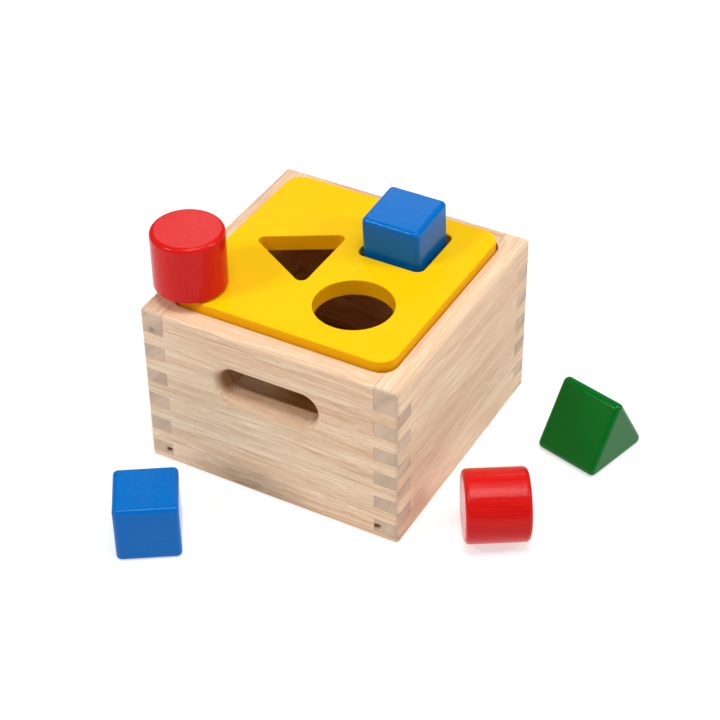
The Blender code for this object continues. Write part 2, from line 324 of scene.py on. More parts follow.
def grain_group():
    """Where the wood's rings, thin veins, fibres and pores lie, with the grain along X."""
    inputs = [
        ("Position", "Vector", None),
        ("Pith", "Vector", (0.0, 0.05, -0.05)),
        ("Ring Spacing", "Float", 0.006),
        ("Wander", "Float", 0.006),
        ("Seed", "Float", 0.0),
    ]
    outputs = [(n, "Float") for n in ("Cloud", "Rings", "Veins", "Fibres", "Pores")]
    tree, given, result = new_group("wood_grain", inputs, outputs)
    position = given["Position"]
    seed = given["Seed"]
    drift = speckle(tree, position, DRIFT_MARKS, seed, 2.0, output=1)
    drift = vectors(tree, "SUBTRACT", drift, (0.5, 0.5, 0.5))
    drift = put(tree, "VectorMath", {0: drift, "Scale": given["Wander"]}, operation="SCALE").outputs[0]
    bent = vectors(tree, "ADD", position, drift)
    across = vectors(tree, "MULTIPLY", vectors(tree, "SUBTRACT", bent, given["Pith"]), (0.0, 1.0, 1.0))
    reach = put(tree, "VectorMath", {0: across}, operation="LENGTH").outputs["Value"]
    ring_step = sums(tree, "DIVIDE", reach, given["Ring Spacing"])
    along = put(tree, "SeparateXYZ", {0: bent}).outputs[0]
    ring_place = put(tree, "CombineXYZ", {0: ring_step, 1: sums(tree, "MULTIPLY", along, 3.0), 2: seed})
    feeds = {"Vector": ring_place.outputs[0], "Scale": 1.0, "Detail": 2.0, "Roughness": 0.5}
    rings = put(tree, "TexNoise", feeds).outputs[0]
    folded = sums(tree, "PINGPONG", sums(tree, "MULTIPLY", rings, 7.0), 0.5)
    veins = graded(tree, folded, 0.0, 0.13, 1.0, 0.0)
    faded = graded(tree, speckle(tree, position, VEIN_BREAKS, seed, 1.0), 0.42, 0.62)
    fibres = speckle(tree, bent, FIBRE_MARKS, seed, 3.0)
    pores = graded(tree, speckle(tree, bent, PORE_MARKS, seed, 1.0), 0.60, 0.70)
    fill_group(
        tree,
        result,
        Cloud=graded(tree, speckle(tree, position, CLOUD_MARKS, seed, 2.0), 0.36, 0.64),
        Rings=graded(tree, rings, 0.30, 0.70),
        Veins=sums(tree, "MULTIPLY", veins, faded),
        Fibres=fibres,
        Pores=pores,
    )
    return tree


def bare_wood_group():
    """Sanded, unpainted wood, darker and greyer where the grain is cut across."""
    masks = ("Cloud", "Rings", "Veins", "Fibres", "Pores", "Across", "Smudge", "Inside", "Vein Depth")
    inputs = [(n, "Float", 0.0) for n in masks]
    inputs += [(n, "Color", None) for n in ("Pale", "Warm", "Vein", "End", "Inner Tint")]
    outputs = [("Colour", "Color"), ("Roughness", "Float"), ("Height", "Float")]
    tree, given, result = new_group("bare_wood", inputs, outputs)
    ground = mixed(tree, given["Cloud"], given["Pale"], given["Warm"])
    ring_tone = graded(tree, given["Rings"], 0.0, 1.0, 0.92, 1.03)
    fibre_tone = graded(tree, given["Fibres"], 0.30, 0.70, 0.88, 1.06)
    tone = sums(tree, "MULTIPLY", ring_tone, fibre_tone)
    browner = {0: tone, 1: sums(tree, "POWER", tone, 1.8), 2: sums(tree, "POWER", tone, 2.4)}
    tone_colour = put(tree, "CombineColor", browner).outputs[0]
    ground = mixed(tree, 1.0, ground, tone_colour, "MULTIPLY")
    end_tone = graded(tree, given["Rings"], 0.0, 1.0, 0.84, 1.08)
    end_colour = put(tree, "CombineColor", {0: end_tone, 1: end_tone, 2: end_tone}).outputs[0]
    cut_ends = mixed(tree, 1.0, given["End"], end_colour, "MULTIPLY")
    ground = mixed(tree, given["Across"], ground, cut_ends)
    depth = given["Vein Depth"]
    veined = mixed(tree, sums(tree, "MULTIPLY", given["Veins"], depth), ground, given["Vein"])
    pore_depth = sums(tree, "MULTIPLY", depth, 0.55)
    pored = mixed(tree, sums(tree, "MULTIPLY", given["Pores"], pore_depth), veined, given["Vein"])
    # Real knots, and painted shade at the hand slot's ends, in one brown
    knotted_and_shaded = mixed(tree, given["Smudge"], pored, KNOT_AND_SHADE_BROWN)
    # Painted shade: the box's inner side and the slot's ends are multiplied by the inner shade colour
    inner_shaded = mixed(tree, given["Inside"], knotted_and_shaded, given["Inner Tint"], "MULTIPLY")
    rough = sums(tree, "ADD", 0.52, sums(tree, "MULTIPLY", given["Fibres"], 0.16))
    height = sums(tree, "SUBTRACT", given["Fibres"], sums(tree, "MULTIPLY", given["Pores"], 0.9))
    height = sums(tree, "SUBTRACT", height, sums(tree, "MULTIPLY", given["Veins"], 0.35))
    fill_group(tree, result, Colour=inner_shaded, Roughness=rough, Height=height)
    return tree


def paint_group():
    """Paint that the grain below still shows through a little."""
    inputs = [("Position", "Vector", None)]
    inputs += [("Cloud", "Float", 0.0), ("Rings", "Float", 0.0)]
    inputs += [("Paint", "Color", None), ("Deep", "Color", None)]
    inputs += [("Show Through", "Float", 0.5), ("Gloss", "Float", 0.25)]
    outputs = [("Colour", "Color"), ("Roughness", "Float"), ("Height", "Float")]
    tree, given, result = new_group("paint_on_wood", inputs, outputs)
    streaks = graded(tree, speckle(tree, given["Position"], PAINT_STREAKS, 7.0, 3.0), 0.36, 0.66)
    thin = sums(tree, "MULTIPLY", streaks, 0.65)
    thin = sums(tree, "ADD", thin, sums(tree, "MULTIPLY", given["Rings"], 0.35))
    thin = sums(tree, "MULTIPLY", thin, given["Show Through"])
    colour_out = mixed(tree, thin, given["Paint"], given["Deep"])
    rough = sums(tree, "ADD", given["Gloss"], sums(tree, "MULTIPLY", given["Cloud"], 0.07))
    waves = speckle(tree, given["Position"], PAINT_WAVES, 3.0, 1.0)
    height = sums(tree, "MULTIPLY", streaks, sums(tree, "MULTIPLY", given["Show Through"], -0.35))
    height = sums(tree, "ADD", height, waves)
    fill_group(tree, result, Colour=colour_out, Roughness=rough, Height=height)
    return tree


def knot_group():
    """A soft-edged patch round a knot."""
    inputs = [("Position", "Vector", None), ("Middle", "Vector", None)]
    inputs += [("Reach", "Vector", (1.0, 1.0, 1.0)), ("Depth", "Float", 0.5), ("Seed", "Float", 0.0)]
    tree, given, result = new_group("knot_patch", inputs, [("Mask", "Float")])
    offset = vectors(tree, "SUBTRACT", given["Position"], given["Middle"])
    offset = vectors(tree, "DIVIDE", offset, given["Reach"])
    reach = put(tree, "VectorMath", {0: offset}, operation="LENGTH").outputs["Value"]
    ragged = speckle(tree, given["Position"], KNOT_FRAY, given["Seed"], 3.0)
    frayed = sums(tree, "ADD", reach, sums(tree, "MULTIPLY", ragged, 0.5))
    patch = graded(tree, frayed, 0.15, 1.25, 1.0, 0.0)
    broken = graded(tree, ragged, 0.30, 0.70, 1.0, 0.72)
    mask = sums(tree, "MULTIPLY", sums(tree, "MULTIPLY", patch, broken), given["Depth"])
    fill_group(tree, result, Mask=mask)
    return tree


def shared_group(name, maker):
    """A node group by name, made the first time that a material asks for it."""
    return bpy.data.node_groups.get(name) or maker()


def use_group(tree, group, feeds):
    node = tree.nodes.new("ShaderNodeGroup")
    node.node_tree = group
    for name, value in feeds.items():
        if isinstance(value, bpy.types.NodeSocket):
            tree.links.new(value, node.inputs[name])
        else:
            node.inputs[name].default_value = value
    return node


# Materials


def new_material(name, diffuse):
    """A material with its node tree and its shader."""
    mat = bpy.data.materials.new(name)
    mat.use_nodes = True
    mat.diffuse_color = (*diffuse, 1.0)
    return mat, mat.node_tree, mat.node_tree.nodes["Principled BSDF"]


def dress(tree, shader, finish, relief, shine):
    """Lead a finish group's colour, roughness and height to the shader."""
    tree.links.new(finish.outputs["Colour"], shader.inputs["Base Color"])
    tree.links.new(finish.outputs["Roughness"], shader.inputs["Roughness"])
    feeds = {"Height": finish.outputs["Height"], "Strength": 1.0, "Distance": relief}
    tree.links.new(put(tree, "Bump", feeds).outputs[0], shader.inputs["Normal"])
    shader.inputs["Specular IOR Level"].default_value = shine


class Knot(NamedTuple):
    """A patch of darker wood, in its board's own axes."""

    middle: tuple
    reach: tuple
    depth: float


class Grain(NamedTuple):
    """How a piece was cut from the log, in the piece's own axes, and how its wood looks.

    The rings run round the pith. The wood turns warmer above warm_from, and inner_shade is the share of
    the painted inner shade colour that its inner side takes.
    """

    pith: tuple
    ring_spacing: float
    wander: float
    seed: float
    vein_depth: float = 0.0
    warm_from: float = 1.0
    inner_shade: float = 0.6
    knots: tuple = ()


WALL_GRAIN = {
    "front_wall": Grain(
        pith=(0.0, -0.02, -0.13),
        ring_spacing=0.0080,
        wander=0.009,
        seed=3.0,
        vein_depth=0.55,
        warm_from=0.062,
        knots=(Knot((-0.013, -0.069, 0.0030), (0.050, 0.020, 0.0190), 0.95),),
    ),
    "right_wall": Grain(
        pith=(0.0, -0.16, -0.02), ring_spacing=0.0120, wander=0.009, seed=11.0, vein_depth=0.18
    ),
    "back_wall": Grain(
        pith=(0.0, 0.02, 0.20), ring_spacing=0.0090, wander=0.010, seed=23.0, vein_depth=0.55
    ),
    "left_wall": Grain(
        pith=(0.0, 0.05, -0.06),
        ring_spacing=0.0100,
        wander=0.010,
        seed=31.0,
        vein_depth=0.40,
        inner_shade=0.0,
        knots=(Knot((0.069, -0.0625, 0.0801), (0.004, 0.0034, 0.0024), 1.0),),
    ),
}
PANEL_GRAIN = Grain(
    pith=(0.0, 0.0, -0.25), ring_spacing=0.0120, wander=0.016, seed=47.0, vein_depth=0.5
)
PAINTED_GRAIN = Grain(pith=(0.0, 0.03, 0.05), ring_spacing=0.0035, wander=0.004, seed=0.0)


def grain_nodes(tree, position, grain):
    feeds = {"Position": position, "Pith": grain.pith, "Ring Spacing": grain.ring_spacing}
    feeds.update({"Wander": grain.wander, "Seed": grain.seed})
    return use_group(tree, shared_group("wood_grain", grain_group), feeds).outputs


def opaque(tint, factor=1.0):
    """A colour from the settings, times a factor, as a shader's colour."""
    return (*(factor * Vector(tint)), 1.0)


def flat_mask(tree, normal):
    """1 on the faces that lie square to an axis, fading to 0 on the rounded ones."""
    parts = put(tree, "SeparateXYZ", {0: vectors(tree, "ABSOLUTE", normal)}).outputs
    squarely = sums(tree, "MAXIMUM", sums(tree, "MAXIMUM", parts[0], parts[1]), parts[2])
    return graded(tree, squarely, 0.90, 0.98)


def painted_shade_masks(tree, box, where, facing, inner_shade):
    """Masks of painted shade: on a wall's inner side with its slot's ends, and on the slot's ends alone."""
    along, deep, _ = where
    inner_face = -0.5 * box.side + box.wall
    inside = graded(tree, deep, inner_face - 0.4 * box.wall, inner_face)
    between = graded(tree, sums(tree, "ABSOLUTE", along), -inner_face - 0.002, -inner_face, 1.0, 0.0)
    # The slot's ends, which take painted shade
    slot_end_shade = graded(tree, sums(tree, "ABSOLUTE", facing[0]), 0.10, 0.70)
    slot_end_shade = sums(tree, "MULTIPLY", slot_end_shade, graded(tree, deep, -0.5 * box.side, inner_face - 0.007))
    slot_end_shade = sums(tree, "MULTIPLY", slot_end_shade, between)
    inside = sums(tree, "MULTIPLY", inside, sums(tree, "MULTIPLY", between, inner_shade))
    inside = sums(tree, "MAXIMUM", inside, slot_end_shade)
    not_top = graded(tree, facing[2], 0.60, 0.95, 1.0, 0.0)
    return sums(tree, "MULTIPLY", inside, not_top), slot_end_shade


def board_material(name, box, grain):
    """Bare board wood, warmer along the top, with painted shade that makes it browner inside the box and
    darker at the ends of a hand slot.
    """
    mat, tree, shader = new_material(name, box.pale_wood)
    held = put(tree, "TexCoord").outputs
    marks = grain_nodes(tree, held["Object"], grain)
    facing = put(tree, "SeparateXYZ", {0: held["Normal"]}).outputs
    where = put(tree, "SeparateXYZ", {0: held["Object"]}).outputs
    warm = graded(tree, where[2], grain.warm_from, grain.warm_from + 0.020)
    warm = sums(tree, "MAXIMUM", graded(tree, facing[2], 0.30, 0.90), warm)
    # Where painted shade darkens the wood: the inner side, and the hand slot's ends
    inside, slot_end_shade = painted_shade_masks(tree, box, where, facing, grain.inner_shade)
    # Painted shade at the ends of a hand slot
    knot_and_shade = sums(tree, "MULTIPLY", slot_end_shade, SLOT_END_SHADE)
    for knot in grain.knots:
        feeds = {"Position": held["Object"], "Middle": knot.middle, "Reach": knot.reach, "Depth": knot.depth}
        patch = use_group(tree, shared_group("knot_patch", knot_group), feeds).outputs[0]
        knot_and_shade = sums(tree, "MAXIMUM", knot_and_shade, patch)
    feeds = {n: marks[n] for n in ("Rings", "Fibres", "Pores")}
    feeds["Veins"] = sums(tree, "MULTIPLY", marks["Veins"], flat_mask(tree, held["Normal"]))
    feeds["Cloud"] = sums(tree, "MAXIMUM", marks["Cloud"], warm)
    feeds["Across"] = graded(tree, sums(tree, "ABSOLUTE", facing[0]), 0.30, 0.95)
    feeds.update({"Smudge": knot_and_shade, "Inside": inside, "Vein Depth": grain.vein_depth})
    feeds.update({"Pale": opaque(box.pale_wood), "Warm": opaque(box.warm_wood)})
    feeds.update({"Vein": opaque(box.vein), "End": opaque(box.end_grain)})
    feeds["Inner Tint"] = opaque(box.inner_shade_colour)
    finish = use_group(tree, shared_group("bare_wood", bare_wood_group), feeds)
    dress(tree, shader, finish, WOOD_RELIEF, shine=0.30)
    return mat


def panel_material(name, box, grain):
    """Brown plywood with broad rings, its brown a painted shade inside the box, and paler by the left wall,
    where a pool of light is painted.
    """
    mat, tree, shader = new_material(name, box.panel_wood)
    held = put(tree, "TexCoord").outputs
    marks = grain_nodes(tree, held["Object"], grain)
    along = put(tree, "SeparateXYZ", {0: held["Object"]}).outputs[0]
    # Painted light: the panel turns paler towards the left wall, a pool of light painted on it
    painted_light = graded(tree, along, -0.060, -0.018, 1.0, 0.0)
    feeds = {n: marks[n] for n in ("Cloud", "Rings", "Veins", "Fibres", "Pores")}
    feeds["Pale"] = mixed(tree, painted_light, opaque(box.panel_wood), opaque(box.panel_lit_wood))
    feeds["Warm"] = mixed(tree, painted_light, opaque(box.panel_wood, 0.85), opaque(box.panel_lit_wood, 0.92))
    feeds["Vein"] = opaque(box.panel_wood, 0.45)
    feeds["Vein Depth"] = grain.vein_depth
    finish = use_group(tree, shared_group("bare_wood", bare_wood_group), feeds)
    dress(tree, shader, finish, WOOD_RELIEF, shine=0.20)
    return mat


def paint_material(name, paint, deep, *, seed, show_through, gloss, shine, upright_grain=False, edge=None):
    """Paint on wood whose grain runs along X, or along Z. Upright faces may take a colour of their own, which
    paints shade on them.
    """
    mat, tree, shader = new_material(name, paint)
    held = put(tree, "TexCoord").outputs
    position = held["Object"]
    if upright_grain:
        parts = put(tree, "SeparateXYZ", {0: position}).outputs
        position = put(tree, "CombineXYZ", {0: parts[2], 1: parts[0], 2: parts[1]}).outputs[0]
    marks = grain_nodes(tree, position, PAINTED_GRAIN._replace(seed=seed))
    feeds = {"Position": position, "Cloud": marks["Cloud"], "Rings": marks["Rings"]}
    feeds.update({"Paint": opaque(paint), "Deep": opaque(deep), "Show Through": show_through, "Gloss": gloss})
    if edge is not None:
        facing = put(tree, "SeparateXYZ", {0: held["Normal"]}).outputs[2]
        # Upright faces take the edge colour, a painted shade
        upright = graded(tree, facing, 0.10, 0.80, 1.0, 0.0)
        feeds["Paint"] = mixed(tree, upright, feeds["Paint"], opaque(edge))
        feeds["Deep"] = mixed(tree, upright, feeds["Deep"], opaque(edge))
    finish = use_group(tree, shared_group("paint_on_wood", paint_group), feeds)
    dress(tree, shader, finish, PAINT_RELIEF, shine)
    return mat


# Mesh work


def polygon_centres(count, side, start=0.0):
    """Corners of a regular polygon with the given side, counter-clockwise about the origin."""
    reach = side / (2.0 * math.sin(math.pi / count))
    angles = [start + 2.0 * math.pi * k / count for k in range(count)]
    return [Vector((reach * math.cos(a), reach * math.sin(a))) for a in angles]


def square_centres(side, corner, middle=(0.0, 0.0)):
    """Arc centres of a rounded square."""
    reach = 0.5 * side - corner
    signs = ((1, 1), (-1, 1), (-1, -1), (1, -1))
    return [Vector(middle) + Vector((sx * reach, sy * reach)) for sx, sy in signs]


def triangle_centres(side, corner, middle=(0.0, 0.0), start=math.pi):
    """Arc centres of a rounded equilateral triangle, one corner of which points along start."""
    inner_side = side - 2.0 * math.sqrt(3.0) * corner
    return [Vector(middle) + p for p in polygon_centres(3, inner_side, start)]


def outline(centres, radius, steps):
    """A convex outline: arcs of one radius about each centre, joined by straight runs."""
    if len(centres) == 1:
        angles = [2.0 * math.pi * k / steps for k in range(steps)]
        return [centres[0] + radius * Vector((math.cos(a), math.sin(a))) for a in angles]
    points = []
    for k, here in enumerate(centres):
        arriving = here - centres[k - 1]
        leaving = centres[(k + 1) % len(centres)] - here
        start = math.atan2(arriving.y, arriving.x) - QUARTER_TURN
        swing = (math.atan2(leaving.y, leaving.x) - math.atan2(arriving.y, arriving.x)) % (2.0 * math.pi)
        arc = max(2, round(steps * swing / QUARTER_TURN))
        for step in range(arc + 1):
            angle = start + swing * step / arc
            points.append(here + radius * Vector((math.cos(angle), math.sin(angle))))
    return points


def loft(centres, radius, stations, steps):
    """A closed solid through outlines at (height, growth) stations along +Z."""
    bm = bmesh.new()
    rings = []
    for height, growth in stations:
        points = outline(centres, radius + growth, steps)
        rings.append([bm.verts.new((p.x, p.y, height)) for p in points])
    for low, high in zip(rings, rings[1:]):
        for k in range(len(low)):
            n = (k + 1) % len(low)
            bm.faces.new((low[k], low[n], high[n], high[k]))
    bm.faces.new(list(reversed(rings[0])))
    bm.faces.new(rings[-1])
    return bm


def edge_stations(bottom, top, bottom_edge, top_edge, flare, steps):
    """Stations that draw a solid's rims in, or with flare 1 widen the mouths of a hole's cutter."""
    stations = []
    for k in range(steps + 1):
        angle = QUARTER_TURN * k / steps
        growth = flare * bottom_edge * (1.0 - math.sin(angle))
        stations.append((bottom + bottom_edge * (1.0 - math.cos(angle)), growth))
    for k in range(steps, -1, -1):
        angle = QUARTER_TURN * k / steps
        growth = flare * top_edge * (1.0 - math.sin(angle))
        stations.append((top - top_edge * (1.0 - math.cos(angle)), growth))
    return stations


def rounded_solid(centres, radius, bottom, top, bottom_edge, top_edge, steps, rim_steps=8):
    """A board or block along +Z with its bottom and top edges rounded."""
    stations = edge_stations(bottom, top, bottom_edge, top_edge, -1.0, rim_steps)
    return loft(centres, radius, stations, steps)


def hole_cutter(centres, radius, depth, low_edge, high_edge, steps, rim_steps=6):
    """A cutter through a board from 0 to depth, widening at its two mouths."""
    stations = edge_stations(0.0, depth, low_edge, high_edge, 1.0, rim_steps)
    stations = [(-WORK_CLEARANCE, low_edge)] + stations + [(depth + WORK_CLEARANCE, high_edge)]
    return loft(centres, radius, stations, steps)


def add_object(name, bm, mat=None):
    bmesh.ops.recalc_face_normals(bm, faces=bm.faces)
    mesh = bpy.data.meshes.new(name)
    bm.to_mesh(mesh)
    bm.free()
    if mat is not None:
        mesh.materials.append(mat)
    obj = bpy.data.objects.new(name, mesh)
    bpy.context.scene.collection.objects.link(obj)
    return obj


def carve(obj, bm, operation="DIFFERENCE"):
    """Apply one exact boolean to obj."""
    cutter = add_object("cutter", bm)
    modifier = obj.modifiers.new("carve", "BOOLEAN")
    modifier.operation = operation
    modifier.solver = "EXACT"
    modifier.object = cutter
    depsgraph = bpy.context.evaluated_depsgraph_get()
    result = bpy.data.meshes.new_from_object(obj.evaluated_get(depsgraph))
    obj.modifiers.clear()
    result.name = obj.name
    obj.data = result
    bpy.data.objects.remove(cutter)


def finish_surface(obj):
    """Shade the rounded edges smooth and keep the broad faces flat."""
    obj.data.shade_smooth()
    obj.data.set_sharp_from_angle(angle=SHARP_ANGLE)
    modifier = obj.modifiers.new("flat faces", "WEIGHTED_NORMAL")
    modifier.keep_sharp = True
    modifier.weight = 100


def mount(obj, node, body):
    """Let a piece stand for a node of the frame and move with that node's body."""
    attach(obj, body)
    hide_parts(node)


# Box


def finger_steps(box, owns_bottom_row):
    """Stepped end outline of a wall, as (reach, height) pairs from the bottom up."""
    full = 0.5 * box.side + WORK_CLEARANCE
    short = 0.5 * box.side - box.wall - box.joint_gap
    ease = 0.5 * box.joint_gap
    steps = []
    for row in range(box.finger_rows):
        owned = (row % 2 == 0) == owns_bottom_row
        low = box.first_finger + box.finger_pitch * (row - 1) + (ease if owned else -ease)
        high = box.first_finger + box.finger_pitch * row - (ease if owned else -ease)
        reach = full if owned else short
        steps.append((reach, 0.0 if row == 0 else low))
        steps.append((reach, box.height if row == box.finger_rows - 1 else high))
    return steps


def fingered_slab(box, owns_bottom_row):
    """A wall across -Y, running along X, with square fingers at both ends."""
    right = finger_steps(box, owns_bottom_row)
    loop = right + [(-reach, height) for reach, height in reversed(right)]
    outer = -0.5 * box.side - WORK_CLEARANCE
    inner = -0.5 * box.side + box.wall
    bm = bmesh.new()
    near = [bm.verts.new((x, outer, z)) for x, z in loop]
    far = [bm.verts.new((x, inner, z)) for x, z in loop]
    bm.faces.new(near)
    bm.faces.new(list(reversed(far)))
    for k in range(len(loop)):
        n = (k + 1) % len(loop)
        bm.faces.new((near[k], far[k], far[n], near[n]))
    return bm


def whole_box(box):
    """The box's outer shape, which gives every wall its rounded outer edges."""
    corner = box.outer_edge + CORNER_SPARE
    centres = square_centres(box.side, corner)
    return rounded_solid(centres, corner, 0.0, box.height, box.outer_edge, box.outer_edge, 8)


def lid_rebate(box, seat):
    """The recess in the tops of the walls, from the seat up."""
    centres = square_centres(box.rebate_side, box.rebate_corner)
    stations = [(seat, 0.0), (box.height + WORK_CLEARANCE, 0.0)]
    return loft(centres, box.rebate_corner, stations, 12)


def panel_groove(box):
    """The bottom panel's groove, open at both ends of a side wall."""
    wall_face = -0.5 * box.side + box.wall
    half = 0.5 * box.side + WORK_CLEARANCE
    low = Vector((-half, wall_face - box.groove_depth, box.groove_bottom))
    high = Vector((half, wall_face + WORK_CLEARANCE, box.groove_bottom + box.groove_height))
    bm = bmesh.new()
    bmesh.ops.create_cube(bm, size=1.0)
    matrix = Matrix.Translation(0.5 * (low + high)) @ Matrix.Diagonal((*(high - low), 1.0))
    bmesh.ops.transform(bm, matrix=matrix, verts=bm.verts)
    return bm


def hand_slot(box):
    """A slot with round ends through the wall across -Y, rounded over on both faces."""
    reach = 0.5 * (box.slot_width - box.slot_height)
    centres = [Vector((-reach, 0.0)), Vector((reach, 0.0))]
    edges = (box.slot_inner_edge, box.slot_outer_edge)
    bm = hole_cutter(centres, 0.5 * box.slot_height, box.wall, *edges, 16, 10)
    stand = Matrix.Rotation(QUARTER_TURN, 4, "X")
    across, up = box.slot_centre
    matrix = Matrix.Translation((across, -0.5 * box.side + box.wall, up)) @ stand
    bmesh.ops.transform(bm, matrix=matrix, verts=bm.verts)
    return bm


def build_wall(box, name, node, quarter_turns, has_slot, mat):
    """Build a wall as the front one and turn it into place. A slotted wall has the bottom fingers."""
    wall = add_object(name, fingered_slab(box, has_slot), mat)
    carve(wall, whole_box(box), "INTERSECT")
    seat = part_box("sorting_lid")[0].z - box_centre().z
    carve(wall, lid_rebate(box, seat - SEAT_GAP))
    carve(wall, panel_groove(box))
    if has_slot:
        carve(wall, hand_slot(box))
    wall.location = box_centre()
    wall.rotation_euler = (0.0, 0.0, quarter_turns * QUARTER_TURN)
    finish_surface(wall)
    mount(wall, node, "box")
    return wall


class SORTER_OT_walls(bpy.types.Operator):
    """Build the four finger-jointed walls of the box"""

    bl_idname = "sorter.walls"
    bl_label = "Box walls"

    def execute(self, context):
        box = context.scene.sorter_box
        walls = (
            ("front_board", "front_wall", True),
            ("right_board", "right_wall", False),
            ("back_board", "back_wall", True),
            ("left_board", "left_wall", False),
        )
        for quarter_turns, (name, node, has_slot) in enumerate(walls):
            mat = board_material(node + "_wood", box, WALL_GRAIN[node])
            build_wall(box, name, node, quarter_turns, has_slot, mat)
        return {"FINISHED"}


class SORTER_OT_bottom_panel(bpy.types.Operator):
    """Build the thin panel that closes the bottom of the box"""

    bl_idname = "sorter.bottom_panel"
    bl_label = "Bottom panel"

    def execute(self, context):
        box = context.scene.sorter_box
        low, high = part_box("floor_panel")
        mat = panel_material("bottom_panel_wood", box, PANEL_GRAIN)
        centres = square_centres(high.x - low.x, box.panel_corner)
        edges = (box.panel_edge, box.panel_edge)
        bm = rounded_solid(centres, box.panel_corner, low.z, high.z, *edges, 3, 2)
        panel = add_object("bottom_panel", bm, mat)
        panel.location = Vector((*box_centre().xy, 0.0))
        finish_surface(panel)
        mount(panel, "floor_panel", "box")
        return {"FINISHED"}


# Lid


class SORTER_OT_lid(bpy.types.Operator):
    """Build the yellow lid with its round, square and triangular holes"""

    bl_idname = "sorter.lid"
    bl_label = "Lid"

    def execute(self, context):
        lid = context.scene.sorter_lid
        looks = {"seed": 5.0, "show_through": 0.35, "gloss": 0.34, "shine": 0.06, "edge": lid.shaded_upright_yellow}
        mat = paint_material("yellow_lid_paint", lid.yellow, lid.deep_yellow, **looks)
        centres = square_centres(lid.side, lid.corner)
        edges = (lid.bottom_edge, lid.top_edge)
        bm = rounded_solid(centres, lid.corner, 0.0, lid.thickness, *edges, 12)
        board = add_object("lid_board", bm, mat)
        circle = [Vector(lid.round_hole_centre)]
        square = square_centres(lid.square_hole, lid.square_hole_corner, lid.square_hole_centre)
        triangle = triangle_centres(lid.triangle_hole, lid.triangle_hole_corner, lid.triangle_hole_centre)
        holes = (
            (circle, 0.5 * lid.round_hole, 128),
            (square, lid.square_hole_corner, 10),
            (triangle, lid.triangle_hole_corner, 10),
        )
        for shape, radius, steps in holes:
            carve(board, hole_cutter(shape, radius, lid.thickness, lid.hole_edge, lid.hole_edge, steps))
        middle = node_middle("sorting_lid")
        board.location = (middle.x, middle.y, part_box("sorting_lid")[0].z)
        finish_surface(board)
        mount(board, "sorting_lid", "lid")
        return {"FINISHED"}


# Blocks


def place_block(obj, node, body, swing, lying=None):
    """Set a block that is built round its own middle down where the frame has it."""
    obj.location = node_middle(node)
    turned = Quaternion((0.0, 0.0, 1.0), swing)
    if lying is not None:
        turned = turned @ lying
    obj.rotation_mode = "QUATERNION"
    obj.rotation_quaternion = turned
    finish_surface(obj)
    mount(obj, node, body)


class SORTER_OT_cubes(bpy.types.Operator):
    """Build the blue cube in the square hole and the loose one"""

    bl_idname = "sorter.cubes"
    bl_label = "Cubes"

    def execute(self, context):
        block = context.scene.sorter_blocks
        half = 0.5 * block.cube_side
        cubes = (
            ("blue_cube_in_hole", "cube_in_hole", "hole_cube", 0.0, block.cube_in_hole_lean, 61.0),
            ("blue_cube_loose", "cube_on_table", "table_cube", block.cube_on_table_turn, 0.0, 67.0),
        )
        for name, node, body, swing, lean, seed in cubes:
            looks = {"seed": seed, "show_through": 0.40, "gloss": 0.09, "shine": 0.13}
            mat = paint_material(name + "_paint", block.blue, block.deep_blue, **looks)
            centres = square_centres(block.cube_side, block.corner)
            bm = rounded_solid(centres, block.corner, -half, half, block.edge, block.edge, 10, 10)
            leaning = Quaternion((1.0, 0.0, 0.0), lean)
            place_block(add_object(name, bm, mat), node, body, swing, leaning)
        return {"FINISHED"}


class SORTER_OT_cylinders(bpy.types.Operator):
    """Build the red cylinder that stands on the lid and the one that lies loose"""

    bl_idname = "sorter.cylinders"
    bl_label = "Cylinders"

    def execute(self, context):
        block = context.scene.sorter_blocks
        half = 0.5 * block.cylinder_length
        tipped = Quaternion((0.0, 1.0, 0.0), QUARTER_TURN)
        swing = block.cylinder_on_table_turn
        cylinders = (
            ("red_cylinder_on_lid", "cylinder_on_lid", "lid_cylinder", 0.0, None, 0.40, 71.0),
            ("red_cylinder_loose", "cylinder_on_table", "table_cylinder", swing, tipped, 0.65, 79.0),
        )
        for name, node, body, angle, lying, show_through, seed in cylinders:
            looks = {"seed": seed, "show_through": show_through, "gloss": 0.10, "shine": 0.15}
            looks["upright_grain"] = True
            mat = paint_material(name + "_paint", block.red, block.deep_red, **looks)
            centre = [Vector((0.0, 0.0))]
            radius = 0.5 * block.cylinder_diameter
            bm = rounded_solid(centre, radius, -half, half, block.edge, block.edge, 144, 10)
            place_block(add_object(name, bm, mat), node, body, angle, lying)
        return {"FINISHED"}


class SORTER_OT_prism(bpy.types.Operator):
    """Build the green prism that lies on one of its long faces"""

    bl_idname = "sorter.prism"
    bl_label = "Prism"

    def execute(self, context):
        block = context.scene.sorter_blocks
        looks = {"seed": 83.0, "show_through": 0.35, "gloss": 0.11, "shine": 0.16, "upright_grain": True}
        mat = paint_material("green_prism_paint", block.green, block.deep_green, **looks)
        low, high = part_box("prism_on_table")
        inradius = block.prism_side / (2.0 * math.sqrt(3.0))
        rise = inradius - 0.5 * (high.z - low.z)
        centres = triangle_centres(block.prism_side, block.prism_corner, start=0.0)
        centres = [Vector((c.x + rise, c.y)) for c in centres]
        half = 0.5 * block.prism_length
        bm = rounded_solid(centres, block.prism_corner, -half, half, block.edge, block.edge, 10, 10)
        tipped = Quaternion((0.0, 1.0, 0.0), -QUARTER_TURN)
        prism = add_object("green_prism_loose", bm, mat)
        place_block(prism, "prism_on_table", "table_prism", block.prism_on_table_turn, tipped)
        return {"FINISHED"}


# Stage


def aim(obj, target, roll=0.0):
    """Turn a camera or a light to a target, then lean it."""
    facing = (Vector(target) - obj.location).to_track_quat("-Z", "Y")
    obj.rotation_mode = "QUATERNION"
    obj.rotation_quaternion = facing @ Quaternion((0.0, 0.0, 1.0), roll)


